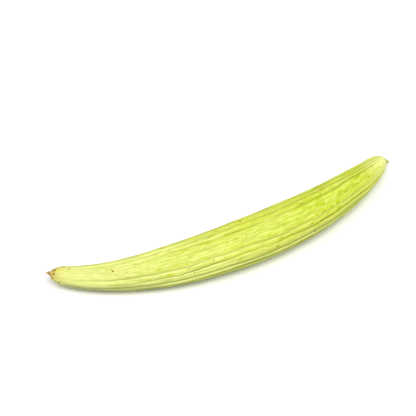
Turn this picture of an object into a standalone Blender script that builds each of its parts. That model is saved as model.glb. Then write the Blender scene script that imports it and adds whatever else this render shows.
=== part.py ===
"""Armenian cucumber: one long, curved, ribbed fruit lying on its side, with the stub of its stem
and the withered rest of its flower.

The fruit is a ribbed tube swept along a line that lies flat and curves. The line runs from the
blossom end at -X to the stem end at +X and bulges towards -Y. Z is up, and the underside of the
lowest rib is pressed flat at z = 0. Places along the fruit are shares of its length, 0 at the
blossom end and 1 at the stem end. Places round it are degrees: 0 faces -Y, 90 is the top.
"""

import math

import bmesh
import bpy
import numpy as np

MM = 0.001

# The fruit's line: its length, the place of the middle of its chord, and how fast it turns, as
# (share of the length, degrees for each 100 mm)
LENGTH_MM = 400.0
CHORD_MIDDLE_MM = (-2.1, 36.5)
BENDS = ((0.0, 42.7), (0.25, 17.7), (0.5, 13.8), (0.75, 15.3), (1.0, 16.0))

# Radius over the crests of the ribs before the ends are rounded off, as (share, mm)
RADII = ((0.0, 8.0), (0.15, 14.1), (0.3, 20.0), (0.5, 23.2), (0.7, 21.6), (0.85, 17.0), (1.0, 9.2))

# Rounded ends: how far each one reaches in, and its fullness (2 is an ellipse, less is pointed)
BLOSSOM_CAP_MM = 13.2
BLOSSOM_FULLNESS = 1.85
STEM_CAP_MM = 21.5
STEM_FULLNESS = 2.15

# How far the ends rise off the table, over which share, and how deep the underside is pressed flat
BLOSSOM_LIFT_MM = 5.4
STEM_LIFT_MM = 1.7
LIFT_SHARE = 0.35
FLAT_PRESS_MM = 0.5

# Furrows between the ribs on the front and the top, in order round the fruit. Each one is a path of
# (share of the length, place round the fruit, depth in mm as it would be where the fruit is thickest)
SEEN_FURROWS = (
    ((0, -33, 0.5), (0.1, -31, 1.3), (0.19, -24, 1.9), (0.3, -31, 2.0), (0.36, -22, 2.2), (0.45, -18, 2.3),
     (0.6, -22, 2.4), (0.7, -18, 2.3), (0.79, -11, 2.0), (0.84, -14, 0.8), (1, -25, 0.5)),
    ((0, -20, 0.9), (0.05, -19, 1.7), (0.09, -17, 2.1), (0.15, -8, 2.2), (0.2, -6, 2.4), (0.32, -2, 2.4),
     (0.45, 0, 2.4), (0.6, -2, 2.3), (0.7, -2, 2.7), (0.79, 1, 2.9), (0.88, -9, 2.7), (1, -20, 0.8)),
    ((0, -5, 0), (0.2, 0, 0), (0.3, 6, 0), (0.36, 10, 0.4), (0.4, 13, 0.5), (0.45, 14, 0.4), (0.52, 12, 0),
     (0.7, 9, 0), (0.75, 10, 0.4), (0.8, 11, 0.4), (0.86, 6, 0.3), (1, 0, 0)),
    ((0, 4, 0), (0.13, 8, 0.8), (0.2, 9, 1.3), (0.25, 13, 1.9), (0.32, 14.5, 1.9), (0.36, 18.5, 1.8),
     (0.4, 22.5, 1.2), (0.44, 23.5, 1.1), (0.48, 21.5, 1.0), (0.52, 20.5, 1.2), (0.56, 21, 1.5),
     (0.62, 18, 1.6), (0.72, 17, 2.2), (0.77, 20, 2.2), (0.81, 19, 2.5), (0.85, 15, 2.5), (0.93, 12, 1.8),
     (1, 9, 0.8)),
    ((0, 28, 0.6), (0.08, 32.5, 0.8), (0.15, 30, 1.2), (0.2, 32, 0.9), (0.3, 34, 0.8), (0.36, 37, 0.6),
     (0.42, 39.5, 0.4), (0.48, 39, 0.6), (0.52, 36.5, 1.3), (0.6, 33.5, 1.1), (0.66, 33, 1.2),
     (0.72, 36, 1.3), (0.8, 33, 1.0), (0.88, 30.5, 0.7), (1, 27, 0.5)),
    ((0, 46, 0), (0.2, 52, 0.2), (0.3, 54, 0.4), (0.38, 57, 0.2), (0.46, 59, 0.3), (0.57, 55.5, 0.8),
     (0.64, 53.5, 0.7), (0.68, 55, 0.6), (0.76, 52.5, 0.6), (0.82, 54, 0.5), (0.87, 50, 0.5), (1, 46, 0.4)),
    ((0, 60, 0.3), (0.07, 65, 0.7), (0.18, 65, 0.6), (0.27, 67, 0.2), (0.36, 66, 0.4), (0.6, 67, 0.4),
     (0.7, 68, 0.2), (0.8, 66, 0), (1, 60, 0)),
    ((0, 74, 0), (0.17, 80, 0.3), (0.27, 85, 1.0), (0.38, 85.5, 1.5), (0.46, 85.5, 1.3), (0.52, 84, 0.8),
     (0.58, 82, 1.0), (0.66, 83, 1.6), (0.75, 83, 1.7), (0.8, 84, 1.9), (0.87, 81, 1.6), (1, 73, 0.7)),
    ((0, 92, 1.0), (0.09, 98, 1.6), (0.15, 97, 1.9), (0.22, 99.5, 1.9), (0.3, 102.5, 1.9), (0.36, 101, 2.0),
     (0.45, 106, 2.0), (0.56, 101, 1.8), (0.62, 103, 1.8), (0.7, 104, 2.2), (0.78, 103, 2.4), (0.85, 98, 2.4),
     (0.9, 93, 2.0), (1, 87, 0.9)),
    ((0, 112, 1.0), (0.13, 122, 1.6), (0.3, 124, 1.8), (0.45, 126, 2.0), (0.6, 126, 2.0), (0.7, 120, 2.3),
     (0.8, 119, 2.4), (0.85, 111, 2.4), (0.9, 108, 2.0), (1, 101, 0.9)),
)
# Furrows on the back and the underside, as (place, depth), which share one slow twist round the fruit,
# as (share, degrees)
TURNED_AWAY_FURROWS = (
    (139, 1.6), (152, 1.9), (165, 1.3), (179, 1.8), (193, 1.9), (209, 1.5), (226, 1.9), (244, 1.6),
    (262, 1.4), (278, 1.4), (295, 1.4), (311, 1.8), (325, 1.6),
)
TWIST = (
    (0.0, -10.0), (0.1, -7.0), (0.25, -3.0), (0.42, 2.0), (0.6, 0.0), (0.78, 1.0), (0.9, -9.0), (1.0, -12.0),
)
FURROW_COUNT = len(SEEN_FURROWS) + len(TURNED_AWAY_FURROWS)
# All furrows fade into the smooth ends: (where they are gone, where they are full), mm from the end
BLOSSOM_FADE_MM = (4.0, 28.0)
STEM_FADE_MM = (5.0, 28.0)
# Each one also wanders by itself, as (wavelength in mm, degrees), and its depth swells and sinks
WANDERS = ((92.0, 0.7), (47.0, 0.4))
DEPTH_WAVE_MM = 130.0
DEPTH_SWING = 0.2
# Shifts each furrow's waves from its neighbour's, in radians
WAVE_SHIFT = 2.4
# Fullness of the ribs: 2 is a round back, more is a flatter back between narrower furrows
RIB_FULLNESS = 2.5

# Rings and columns of the skin
BLOSSOM_RINGS = 8
BODY_RINGS = 40
STEM_RINGS = 9
COLUMNS_PER_RIB = 4

# Room between the fruit and the two pieces on its ends
GAP_MM = 0.3

# Stub of the stem: it leaves the stem end, soon sags down towards the table and then straightens again
STEM_SEAT_RADIUS_MM = 3.3
STEM_LENGTH_MM = 10.9
STEM_RADII = ((0.0, 2.65), (0.1, 2.25), (0.3, 1.9), (0.8, 1.95), (0.93, 1.9), (1.0, 1.45))
STEM_TURNS = ((0.0, 0.0), (0.33, 60.0), (1.0, 16.0))
STEM_SAG_PLACE_DEG = -50.0
STEM_RIDGES = 5
STEM_RIDGE_MM = 0.2
STEM_RINGS_ALONG = 16
STEM_SIDES = 30

# Withered rest of the flower: a short, shrunken, folded cone
FLOWER_SEAT_RADIUS_MM = 2.1
FLOWER_LENGTH_MM = 4.9
FLOWER_RADII = ((0.0, 2.1), (0.25, 2.0), (0.55, 1.5), (0.85, 1.1), (1.0, 0.85))
FLOWER_TURNS = ((0.0, 0.0), (1.0, 20.0))
FLOWER_SAG_PLACE_DEG = -90.0
FLOWER_FOLDS = 6
FLOWER_FOLD_MM = 0.18
FLOWER_RINGS_ALONG = 9
FLOWER_SIDES = 30

# Angle above which an edge shows sharp
SHARP_DEG = 50.0

# Materials: sRGB colour and roughness
SKIN = ("skin", "E2EC78", 0.5)
GREEN_STEM = ("green_stem", "C1C364", 0.6)
DRY_FLOWER = ("dry_flower", "A87B52", 0.9)


def smooth_through(points, at):
    """Values of a smooth curve through (place, value) points, with slopes from the neighbours."""
    place, value = (np.array(column, float) for column in zip(*points))
    slope = np.gradient(value, place)
    at = np.clip(np.asarray(at, float), place[0], place[-1])
    i = np.clip(np.searchsorted(place, at, side="right") - 1, 0, len(place) - 2)
    span = place[i + 1] - place[i]
    t = (at - place[i]) / span
    leaving = (1 + 2 * t) * (1 - t) ** 2 * value[i] + t * (1 - t) ** 2 * span * slope[i]
    reaching = t * t * (3 - 2 * t) * value[i + 1] - t * t * (1 - t) * span * slope[i + 1]
    return leaving + reaching


def smooth_step(at, low, high):
    """0 below low, 1 above high, and a smooth rise between."""
    t = np.clip((at - low) / (high - low), 0, 1)
    return t * t * (3 - 2 * t)


def running_sum(values, at):
    """The area under a sampled curve up to each sample."""
    return np.concatenate([[0.0], np.cumsum((values[1:] + values[:-1]) / 2 * np.diff(at))])


def unit(vectors):
    """The same directions with length 1."""
    return vectors / np.linalg.norm(vectors, axis=-1, keepdims=True)


def rounding(from_end_mm, reach_mm, fullness):
    """Factor that rounds the radius off towards an end."""
    inward = np.clip(1 - from_end_mm / reach_mm, 0, 1)
    return (1 - inward ** 2) ** (1 / fullness)


def seat_distance(seat_mm, end_radius_mm, reach_mm, fullness):
    """How far in from the pole a rounded end is as wide as the seat of the piece on it."""
    return reach_mm * (1 - math.sqrt(1 - (seat_mm / end_radius_mm) ** fullness))


BLOSSOM_SEAT_MM = seat_distance(FLOWER_SEAT_RADIUS_MM, RADII[0][1], BLOSSOM_CAP_MM, BLOSSOM_FULLNESS)
STEM_SEAT_MM = seat_distance(STEM_SEAT_RADIUS_MM, RADII[-1][1], STEM_CAP_MM, STEM_FULLNESS)


def fruit_line():
    """The fruit's centre line: shares, points in mm, and directions, finely sampled."""
    share = np.linspace(0, 1, 1201)
    turning = np.radians(smooth_through(BENDS, share)) * LENGTH_MM / 100
    heading = running_sum(turning, share)
    x = running_sum(np.cos(heading), share) * LENGTH_MM
    y = running_sum(np.sin(heading), share) * LENGTH_MM
    chord = math.atan2(y[-1], x[-1])
    along_chord = math.cos(chord) * x + math.sin(chord) * y
    off_chord = math.cos(chord) * y - math.sin(chord) * x
    rise = BLOSSOM_LIFT_MM * np.clip(1 - share / LIFT_SHARE, 0, 1) ** 2
    rise += STEM_LIFT_MM * np.clip(1 - (1 - share) / LIFT_SHARE, 0, 1) ** 2
    height = smooth_through(RADII, share) + rise - FLAT_PRESS_MM
    middle_x, middle_y = CHORD_MIDDLE_MM
    points = np.stack([along_chord - along_chord[-1] / 2 + middle_x, off_chord + middle_y, height], 1)
    return share, points, unit(np.gradient(points, share, axis=0))


def frame_at(share):
    """Centre, forward, sideways (place 0) and upward (place 90) vectors of the fruit at shares."""
    line_share, points, ways = fruit_line()
    centre = np.stack([np.interp(share, line_share, column) for column in points.T], -1)
    forward = unit(np.stack([np.interp(share, line_share, column) for column in ways.T], -1))
    sideways = unit(np.cross(forward, (0.0, 0.0, 1.0)))
    return centre, forward, sideways, np.cross(sideways, forward)


def crest_radius(share):
    """Radius over the crests of the ribs, with both ends rounded off."""
    from_blossom = share * LENGTH_MM
    from_stem = (1 - share) * LENGTH_MM
    radius = smooth_through(RADII, share)
    radius = radius * rounding(from_blossom, BLOSSOM_CAP_MM, BLOSSOM_FULLNESS)
    return radius * rounding(from_stem, STEM_CAP_MM, STEM_FULLNESS)


def furrow_paths():
    """Every furrow as a path of (share, place in degrees, depth in mm), in order round the fruit."""
    paths = list(SEEN_FURROWS)
    for place, depth in TURNED_AWAY_FURROWS:
        paths.append(tuple((share, place + turn, depth) for share, turn in TWIST))
    return paths


def furrows_at(share):
    """Place in degrees and depth in mm of every furrow, one row for each share."""
    paths = furrow_paths()
    places = np.stack([smooth_through([(s, place) for s, place, _ in path], share) for path in paths], 1)
    depths = np.stack([smooth_through([(s, depth) for s, _, depth in path], share) for path in paths], 1)
    shift = WAVE_SHIFT * np.arange(FURROW_COUNT)
    from_blossom = share[:, None] * LENGTH_MM
    for number, (wave_mm, swing) in enumerate(WANDERS, start=1):
        places = places + swing * np.sin(2 * math.pi * from_blossom / wave_mm + number * shift)
    swell = 1 + DEPTH_SWING * np.sin(2 * math.pi * from_blossom / DEPTH_WAVE_MM + shift)
    ends = smooth_step(from_blossom, *BLOSSOM_FADE_MM) * smooth_step(LENGTH_MM - from_blossom, *STEM_FADE_MM)
    thickness = smooth_through(RADII, share[:, None]) / max(radius for _, radius in RADII)
    return places, np.maximum(depths, 0) * thickness * swell * ends


def skin_rings(shares, columns_per_rib):
    """Points of the ribbed skin in mm, one ring for each share, with a column on every furrow."""
    centre, _, sideways, upward = frame_at(shares)
    places, depths = furrows_at(shares)
    next_places = np.roll(places, -1, axis=1)
    next_places[:, -1] += 360
    next_depths = np.roll(depths, -1, axis=1)
    across = np.arange(columns_per_rib) / columns_per_rib
    place = places[:, :, None] + (next_places - places)[:, :, None] * across
    depth = depths[:, :, None] + (next_depths - depths)[:, :, None] * across
    sunk = depth * np.abs(2 * across - 1) ** RIB_FULLNESS
    angle = np.radians(place.reshape(len(shares), -1))
    radius = crest_radius(shares)[:, None] - sunk.reshape(len(shares), -1)
    ring = np.cos(angle)[:, :, None] * sideways[:, None] + np.sin(angle)[:, :, None] * upward[:, None]
    points = centre[:, None] + radius[:, :, None] * ring
    points[:, :, 2] = np.maximum(points[:, :, 2], 0)
    return points


def ring_shares():
    """Where the skin has rings: closer together towards the two ends."""
    blossom_turn = np.linspace(0, math.pi / 2, BLOSSOM_RINGS)
    stem_turn = np.linspace(math.pi / 2, 0, STEM_RINGS)
    blossom = BLOSSOM_SEAT_MM + (BLOSSOM_CAP_MM - BLOSSOM_SEAT_MM) * (1 - np.cos(blossom_turn))
    stem = STEM_SEAT_MM + (STEM_CAP_MM - STEM_SEAT_MM) * (1 - np.cos(stem_turn))
    body = np.linspace(BLOSSOM_CAP_MM, LENGTH_MM - STEM_CAP_MM, BODY_RINGS + 2)[1:-1]
    return np.concatenate([blossom, body, LENGTH_MM - stem]) / LENGTH_MM


def bent_tube(start, ahead, towards, turns, length_mm, radii, ridges, ridge_mm, rings, sides):
    """Rings of a ridged tube in mm: it leaves start straight ahead and turns towards another way."""
    share = np.linspace(0, 1, rings)
    turn = np.radians(smooth_through(turns, share))
    ways = np.outer(np.cos(turn), ahead) + np.outer(np.sin(turn), towards)
    steps = (ways[1:] + ways[:-1]) / 2 * length_mm / (rings - 1)
    centre = start + np.concatenate([np.zeros((1, 3)), np.cumsum(steps, axis=0)])
    hinge = unit(np.cross(ahead, towards))
    upper = np.cross(ways, hinge)
    angle = np.arange(sides) * 2 * math.pi / sides
    radius = smooth_through(radii, share)[:, None] + ridge_mm * (np.cos(ridges * angle) - 1)
    ring = np.cos(angle)[:, None] * hinge + np.sin(angle)[:, None] * upper[:, None]
    return centre[:, None] + radius[:, :, None] * ring


def solid_from_rings(name, rings, material):
    """One closed object through rings of points, with a fan of faces over each end."""
    mesh_maker = bmesh.new()
    rows = [[mesh_maker.verts.new(point * MM) for point in ring] for ring in rings]
    for row, next_row in zip(rows, rows[1:]):
        for i in range(len(row)):
            j = (i + 1) % len(row)
            mesh_maker.faces.new((row[i], row[j], next_row[j], next_row[i]))
    for row, ring in ((rows[0][::-1], rings[0]), (rows[-1], rings[-1])):
        hub = mesh_maker.verts.new(ring.mean(axis=0) * MM)
        for i in range(len(row)):
            mesh_maker.faces.new((row[i], row[(i + 1) % len(row)], hub))
    bmesh.ops.recalc_face_normals(mesh_maker, faces=mesh_maker.faces)
    mesh = bpy.data.meshes.new(name)
    mesh_maker.to_mesh(mesh)
    mesh_maker.free()
    mesh.shade_smooth()
    mesh.set_sharp_from_angle(angle=math.radians(SHARP_DEG))
    mesh.materials.append(material)
    piece = bpy.data.objects.new(name, mesh)
    bpy.context.collection.objects.link(piece)
    return piece


def plain_material(name, colour, roughness):
    """A material of one colour, given as an sRGB hex value."""
    parts = [int(colour[i:i + 2], 16) / 255 for i in (0, 2, 4)]
    linear = [c / 12.92 if c <= 0.04045 else ((c + 0.055) / 1.055) ** 2.4 for c in parts]
    material = bpy.data.materials.new(name)
    material.use_nodes = True
    shader = material.node_tree.nodes["Principled BSDF"]
    shader.inputs["Base Color"].default_value = (*linear, 1)
    shader.inputs["Roughness"].default_value = roughness
    shader.inputs["Metallic"].default_value = 0.0
    return material


def sag_direction(place_deg, sideways, upward):
    """The way across the fruit that faces a place round it."""
    place = math.radians(place_deg)
    return math.cos(place) * sideways + math.sin(place) * upward


def make_fruit():
    """The ribbed body, cut square at both poles where the stem and the flower sit."""
    rings = skin_rings(ring_shares(), COLUMNS_PER_RIB)
    return solid_from_rings("fruit", rings, plain_material(*SKIN))


def make_stem():
    """The stub of the stem on the +X end."""
    centre, forward, sideways, upward = frame_at(np.array(1 - STEM_SEAT_MM / LENGTH_MM))
    towards = sag_direction(STEM_SAG_PLACE_DEG, sideways, upward)
    rings = bent_tube(
        centre + GAP_MM * forward, forward, towards, STEM_TURNS, STEM_LENGTH_MM,
        STEM_RADII, STEM_RIDGES, STEM_RIDGE_MM, STEM_RINGS_ALONG, STEM_SIDES)
    return solid_from_rings("stem", rings, plain_material(*GREEN_STEM))


def make_blossom_remnant():
    """The shrunken, dry rest of the flower on the -X end."""
    centre, forward, sideways, upward = frame_at(np.array(BLOSSOM_SEAT_MM / LENGTH_MM))
    towards = sag_direction(FLOWER_SAG_PLACE_DEG, sideways, upward)
    rings = bent_tube(
        centre - GAP_MM * forward, -forward, towards, FLOWER_TURNS, FLOWER_LENGTH_MM,
        FLOWER_RADII, FLOWER_FOLDS, FLOWER_FOLD_MM, FLOWER_RINGS_ALONG, FLOWER_SIDES)
    return solid_from_rings("blossom_remnant", rings, plain_material(*DRY_FLOWER))


def clear_scene():
    """Removes whatever the scene holds."""
    for piece in list(bpy.data.objects):
        bpy.data.objects.remove(piece, do_unlink=True)


clear_scene()
make_fruit()
make_stem()
make_blossom_remnant()
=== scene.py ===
# %% [markdown]
# # An armenian cucumber on a white table
# This lesson builds one long, bowed, ribbed fruit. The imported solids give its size, place and main
# form. Here we grow a finer skin by the same rules, add the small things that a solid leaves out,
# and paint it all with node materials: no image is used.

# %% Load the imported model
import math

import bmesh
import bpy
import numpy as np
from mathutils import Matrix, Vector


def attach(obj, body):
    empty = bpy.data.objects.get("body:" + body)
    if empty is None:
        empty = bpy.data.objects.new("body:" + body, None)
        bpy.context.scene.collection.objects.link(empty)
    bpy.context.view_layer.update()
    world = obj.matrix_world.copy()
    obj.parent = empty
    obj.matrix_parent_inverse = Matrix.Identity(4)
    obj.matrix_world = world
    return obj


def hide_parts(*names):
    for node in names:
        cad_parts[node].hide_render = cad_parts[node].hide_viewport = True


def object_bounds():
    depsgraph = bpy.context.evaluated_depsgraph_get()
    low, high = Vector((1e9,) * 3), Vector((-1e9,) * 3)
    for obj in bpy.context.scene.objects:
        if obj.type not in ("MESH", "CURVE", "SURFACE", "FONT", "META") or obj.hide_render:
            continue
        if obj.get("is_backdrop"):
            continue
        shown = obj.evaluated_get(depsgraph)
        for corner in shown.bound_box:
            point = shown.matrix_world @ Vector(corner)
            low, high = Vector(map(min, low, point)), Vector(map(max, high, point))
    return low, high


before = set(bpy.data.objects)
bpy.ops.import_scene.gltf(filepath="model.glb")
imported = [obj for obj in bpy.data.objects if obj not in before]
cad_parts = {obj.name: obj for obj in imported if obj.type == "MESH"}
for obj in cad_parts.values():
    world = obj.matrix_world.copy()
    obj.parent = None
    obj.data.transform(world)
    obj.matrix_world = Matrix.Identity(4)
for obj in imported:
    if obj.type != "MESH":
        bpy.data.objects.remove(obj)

MM = 0.001
cad_low, cad_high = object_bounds()
print("solids:", sorted(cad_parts), "size in mm:", [round(1000 * v, 1) for v in cad_high - cad_low])

# %% [markdown]
# ## Small tools
# A fruit has no straight line and no step in it, so every size along it comes from a smooth curve
# through a few points. A Bezier curve drawn by hand would do too, but a formula gives the same value
# wherever we ask, so the fine skin can follow the solid exactly.

# %% A curve through points
def smooth_through(points, at):
    """Values of a smooth curve through (place, value) points, with slopes from the neighbours."""
    place, value = (np.array(column, float) for column in zip(*points))
    slope = np.gradient(value, place)
    at = np.clip(np.asarray(at, float), place[0], place[-1])
    i = np.clip(np.searchsorted(place, at, side="right") - 1, 0, len(place) - 2)
    span = place[i + 1] - place[i]
    t = (at - place[i]) / span
    leaving = (1 + 2 * t) * (1 - t) ** 2 * value[i] + t * (1 - t) ** 2 * span * slope[i]
    reaching = t * t * (3 - 2 * t) * value[i + 1] - t * t * (1 - t) * span * slope[i + 1]
    return leaving + reaching


print("half way from 0 to 2, a smooth curve is at", float(smooth_through(((0, 0), (1, 2), (2, 1)), 0.5)))

# %% Steps, sums and directions
def smooth_step(at, low, high):
    """0 below low, 1 above high, and a smooth rise between."""
    t = np.clip((at - low) / (high - low), 0, 1)
    return t * t * (3 - 2 * t)


def running_sum(values, at):
    """The area under a sampled curve up to each sample."""
    return np.concatenate([[0.0], np.cumsum((values[1:] + values[:-1]) / 2 * np.diff(at))])


def unit(vectors):
    """The same directions with length 1."""
    return vectors / np.linalg.norm(vectors, axis=-1, keepdims=True)


print("half way up a smooth step:", float(smooth_step(0.5, 0.0, 1.0)))

# %% [markdown]
# ## Camera
# The photograph looks down on the fruit at 45 degrees, from a little to its left, with a long lens
# that keeps the far end nearly as large as the near one. Setting the camera first lets us judge
# every later step from the same place.

# %% Set the camera
CAMERA_AZIMUTH_DEG = -26.05
CAMERA_ELEVATION_DEG = 45.0
CAMERA_DISTANCE_MM = 987.5
CAMERA_TARGET_MM = (-21.49, 39.1, 24.5)
CAMERA_LENS_MM = 85.0


def way_to(azimuth_deg, elevation_deg):
    """The direction from the middle of the table towards an angle round it and above it."""
    azimuth, elevation = math.radians(azimuth_deg), math.radians(elevation_deg)
    flat = math.cos(elevation)
    return Vector((math.sin(azimuth) * flat, -math.cos(azimuth) * flat, math.sin(elevation)))


def placed(name, data):
    """A new object in the scene, made from a camera, a mesh or a lamp."""
    thing = bpy.data.objects.new(name, data)
    bpy.context.scene.collection.objects.link(thing)
    return thing


camera = placed("camera", bpy.data.cameras.new("camera"))
camera.data.lens = CAMERA_LENS_MM
back = way_to(CAMERA_AZIMUTH_DEG, CAMERA_ELEVATION_DEG)
right = way_to(CAMERA_AZIMUTH_DEG + 90, 0)
turned = Matrix((right, back.cross(right), back)).transposed().to_4x4()
turned.translation = (Vector(CAMERA_TARGET_MM) + back * CAMERA_DISTANCE_MM) * MM
camera.matrix_world = turned
bpy.context.scene.camera = camera
print("camera at", [round(v, 3) for v in camera.matrix_world.translation])

# %% [markdown]
# ## Thickness and ends
# The fruit swelled most in the middle, to 46 mm, and far less near the flower. We give its radius at
# a few places. A sphere at each end would be too round, so each end is closed by the formula of a
# fuller or leaner ellipse, and stops where the flower or the stem sits.

# %% Radius along the fruit
LENGTH_MM = 400.0
RADII = ((0.0, 8.0), (0.15, 14.1), (0.3, 20.0), (0.5, 23.2), (0.7, 21.6), (0.85, 17.0), (1.0, 9.2))
THICKEST_MM = max(radius for _, radius in RADII)
BLOSSOM_CAP_MM = 13.2
BLOSSOM_FULLNESS = 1.85
STEM_CAP_MM = 21.5
STEM_FULLNESS = 2.15
FLOWER_SEAT_RADIUS_MM = 2.1
STEM_SEAT_RADIUS_MM = 3.3


def rounding(from_end_mm, reach_mm, fullness):
    """Factor that rounds the radius off towards an end."""
    inward = np.clip(1 - from_end_mm / reach_mm, 0, 1)
    return (1 - inward ** 2) ** (1 / fullness)


def crest_radius(share):
    """Radius over the crests of the ribs, with both ends rounded off."""
    radius = smooth_through(RADII, share)
    radius = radius * rounding(share * LENGTH_MM, BLOSSOM_CAP_MM, BLOSSOM_FULLNESS)
    return radius * rounding((1 - share) * LENGTH_MM, STEM_CAP_MM, STEM_FULLNESS)


def seat_distance(seat_mm, end_radius_mm, reach_mm, fullness):
    """How far in from the pole a rounded end is as wide as the seat of the piece on it."""
    return reach_mm * (1 - math.sqrt(1 - (seat_mm / end_radius_mm) ** fullness))


BLOSSOM_SEAT_MM = seat_distance(FLOWER_SEAT_RADIUS_MM, RADII[0][1], BLOSSOM_CAP_MM, BLOSSOM_FULLNESS)
STEM_SEAT_MM = seat_distance(STEM_SEAT_RADIUS_MM, RADII[-1][1], STEM_CAP_MM, STEM_FULLNESS)
print("thickest place:", 2 * THICKEST_MM, "mm; the skin stops", round(BLOSSOM_SEAT_MM, 2), "and",
      round(STEM_SEAT_MM, 2), "mm before its poles")

# %% [markdown]
# ## The bow
# The fruit bent while it grew, by its own weight and against the ground. We say how fast its middle
# line turns, in degrees for each 100 mm, and add up small steps. A curve modifier could bend a
# straight mesh, but the solid was made from these numbers, and the skin has to fit it.

# %% The middle line
CHORD_MIDDLE_MM = (-2.1, 36.5)
BENDS = ((0.0, 42.7), (0.25, 17.7), (0.5, 13.8), (0.75, 15.3), (1.0, 16.0))
BLOSSOM_LIFT_MM = 5.4
STEM_LIFT_MM = 1.7
LIFT_SHARE = 0.35
FLAT_PRESS_MM = 0.5
LINE_SAMPLES = 1201


def fruit_line():
    """The fruit's centre line: shares, points in mm, and directions, finely sampled."""
    share = np.linspace(0, 1, LINE_SAMPLES)
    turning = np.radians(smooth_through(BENDS, share)) * LENGTH_MM / 100
    heading = running_sum(turning, share)
    x = running_sum(np.cos(heading), share) * LENGTH_MM
    y = running_sum(np.sin(heading), share) * LENGTH_MM
    chord = math.atan2(y[-1], x[-1])
    along_chord = math.cos(chord) * x + math.sin(chord) * y
    off_chord = math.cos(chord) * y - math.sin(chord) * x
    rise = BLOSSOM_LIFT_MM * np.clip(1 - share / LIFT_SHARE, 0, 1) ** 2
    rise += STEM_LIFT_MM * np.clip(1 - (1 - share) / LIFT_SHARE, 0, 1) ** 2
    height = smooth_through(RADII, share) + rise - FLAT_PRESS_MM
    middle_x, middle_y = CHORD_MIDDLE_MM
    points = np.stack([along_chord - along_chord[-1] / 2 + middle_x, off_chord + middle_y, height], 1)
    return share, points, unit(np.gradient(points, share, axis=0))


def frame_at(share):
    """Centre, forward, sideways (place 0) and upward (place 90) vectors of the fruit at shares."""
    line_share, points, ways = fruit_line()
    centre = np.stack([np.interp(share, line_share, column) for column in points.T], -1)
    forward = unit(np.stack([np.interp(share, line_share, column) for column in ways.T], -1))
    sideways = unit(np.cross(forward, (0.0, 0.0, 1.0)))
    return centre, forward, sideways, np.cross(sideways, forward)


print("middle of the fruit at, in mm:", frame_at(np.array(0.5))[0].round(1).tolist())

# %% [markdown]
# ## Furrows
# About twenty furrows run from end to end. They are uneven: deep ones and faint ones, which drift,
# fade and start again. A sine wave round the fruit would look machined. So each furrow that we can
# see is a path through a few points: share of the length, place round the fruit in degrees, and
# depth in mm.

# %% The furrows that show
SEEN_FURROWS = (
    ((0, -33, 0.5), (0.1, -31, 1.3), (0.19, -24, 1.9), (0.3, -31, 2), (0.36, -22, 2.2), (0.45, -18, 2.3),
     (0.6, -22, 2.4), (0.7, -18, 2.3), (0.79, -11, 2), (0.84, -14, 0.8), (1, -25, 0.5)),
    ((0, -20, 0.9), (0.05, -19, 1.7), (0.09, -17, 2.1), (0.15, -8, 2.2), (0.2, -6, 2.4), (0.32, -2, 2.4),
     (0.45, 0, 2.4), (0.6, -2, 2.3), (0.7, -2, 2.7), (0.79, 1, 2.9), (0.88, -9, 2.7), (1, -20, 0.8)),
    ((0, -5, 0), (0.2, 0, 0), (0.3, 6, 0), (0.36, 10, 0.4), (0.4, 13, 0.5), (0.45, 14, 0.4), (0.52, 12, 0),
     (0.7, 9, 0), (0.75, 10, 0.4), (0.8, 11, 0.4), (0.86, 6, 0.3), (1, 0, 0)),
    ((0, 4, 0), (0.13, 8, 0.8), (0.2, 9, 1.3), (0.25, 13, 1.9), (0.32, 14.5, 1.9), (0.36, 18.5, 1.8),
     (0.4, 22.5, 1.2), (0.44, 23.5, 1.1), (0.48, 21.5, 1), (0.52, 20.5, 1.2), (0.56, 21, 1.5),
     (0.62, 18, 1.6), (0.72, 17, 2.2), (0.77, 20, 2.2), (0.81, 19, 2.5), (0.85, 15, 2.5), (0.93, 12, 1.8),
     (1, 9, 0.8)),
    ((0, 28, 0.6), (0.08, 32.5, 0.8), (0.15, 30, 1.2), (0.2, 32, 0.9), (0.3, 34, 0.8), (0.36, 37, 0.6),
     (0.42, 39.5, 0.4), (0.48, 39, 0.6), (0.52, 36.5, 1.3), (0.6, 33.5, 1.1), (0.66, 33, 1.2),
     (0.72, 36, 1.3), (0.8, 33, 1), (0.88, 30.5, 0.7), (1, 27, 0.5)),
    ((0, 46, 0), (0.2, 52, 0.2), (0.3, 54, 0.4), (0.38, 57, 0.2), (0.46, 59, 0.3), (0.57, 55.5, 0.8),
     (0.64, 53.5, 0.7), (0.68, 55, 0.6), (0.76, 52.5, 0.6), (0.82, 54, 0.5), (0.87, 50, 0.5), (1, 46, 0.4)),
    ((0, 60, 0.3), (0.07, 65, 0.7), (0.18, 65, 0.6), (0.27, 67, 0.2), (0.36, 66, 0.4), (0.6, 67, 0.4),
     (0.7, 68, 0.2), (0.8, 66, 0), (1, 60, 0)),
    ((0, 74, 0), (0.17, 80, 0.3), (0.27, 85, 1), (0.38, 85.5, 1.5), (0.46, 85.5, 1.3), (0.52, 84, 0.8),
     (0.58, 82, 1), (0.66, 83, 1.6), (0.75, 83, 1.7), (0.8, 84, 1.9), (0.87, 81, 1.6), (1, 73, 0.7)),
    ((0, 92, 1), (0.09, 98, 1.6), (0.15, 97, 1.9), (0.22, 99.5, 1.9), (0.3, 102.5, 1.9), (0.36, 101, 2),
     (0.45, 106, 2), (0.56, 101, 1.8), (0.62, 103, 1.8), (0.7, 104, 2.2), (0.78, 103, 2.4),
     (0.85, 98, 2.4), (0.9, 93, 2), (1, 87, 0.9)),
    ((0, 112, 1), (0.13, 122, 1.6), (0.3, 124, 1.8), (0.45, 126, 2), (0.6, 126, 2), (0.7, 120, 2.3),
     (0.8, 119, 2.4), (0.85, 111, 2.4), (0.9, 108, 2), (1, 101, 0.9)),
)
print(len(SEEN_FURROWS), "furrows have their own path")

# %% [markdown]
# On the side that is turned away a furrow gets one place and one depth, and all of them share one
# slow twist, which is that of the furrows in front.

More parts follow.
